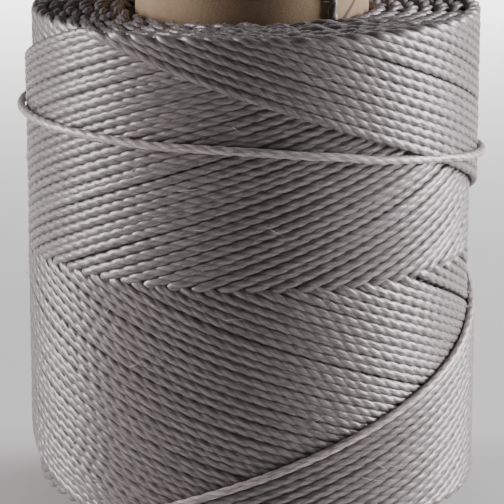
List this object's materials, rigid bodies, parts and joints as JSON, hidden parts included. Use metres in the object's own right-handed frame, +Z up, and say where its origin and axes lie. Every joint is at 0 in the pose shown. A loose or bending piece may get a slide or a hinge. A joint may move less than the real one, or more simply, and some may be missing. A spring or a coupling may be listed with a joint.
{
  "type": "waxed thread spool",
  "caption": "Cylinder of cross-wound waxed thread on a laminated card tube, with a push-in plastic plug and a bare label in each end.",
  "frame": {"origin": "centre of the foot: the spool's axis, on the surface that the bottom plug stands on", "axes": "+Z up along the spool's axis, -Y towards the side that the picture shows"},
  "size_m": [0.0527, 0.053, 0.0644],
  "materials": {
    "thread": "satin",
    "tube_paper": "matte",
    "grey_board": "matte",
    "liner_paper": "matte",
    "plug_plastic": "satin",
    "label_paper": "matte"
  },
  "bodies": {
    "spool": {"core_liner": "liner_paper", "core_board": "grey_board", "core_wrap": "tube_paper", "winding_body": "thread", "outer_winding": "thread", "start_tail": "thread"},
    "upper_plug": {"top_cap": "plug_plastic", "top_label": "label_paper"},
    "lower_plug": {"bottom_cap": "plug_plastic", "bottom_label": "label_paper"}
  },
  "joints": [
    {"name": "upper_plug_pull", "type": "slide", "parent": "spool", "child": "upper_plug", "axis": [0, 0, 1], "range_m": [0, 0.012]},
    {"name": "lower_plug_pull", "type": "slide", "parent": "spool", "child": "lower_plug", "axis": [0, 0, -1], "range_m": [0, 0.012]}
  ]
}
